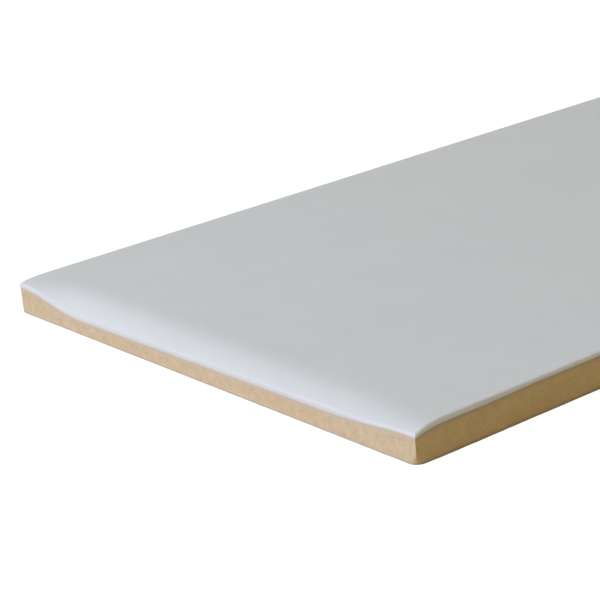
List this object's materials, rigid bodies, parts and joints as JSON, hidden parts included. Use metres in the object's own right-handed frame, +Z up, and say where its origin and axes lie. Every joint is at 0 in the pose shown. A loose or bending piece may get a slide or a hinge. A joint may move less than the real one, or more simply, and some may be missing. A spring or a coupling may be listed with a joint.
{
  "type": "glazed ceramic wall tile",
  "caption": "Brick-format ceramic wall tile with a satin white glazed face rolled down at its ends, bare buff body on its sides and a shallow keyed back.",
  "frame": {"origin": "centre of the tile's back, on the plane its lands rest on, as the tile lies flat with its glaze up", "axes": "+X along the tile's length, +Y across its width, +Z up out of the glazed face"},
  "size_m": [0.2, 0.1, 0.006],
  "materials": {
    "glazed_tile": "satin"
  },
  "bodies": {
    "root": {"tile": "glazed_tile"}
  },
  "joints": []
}
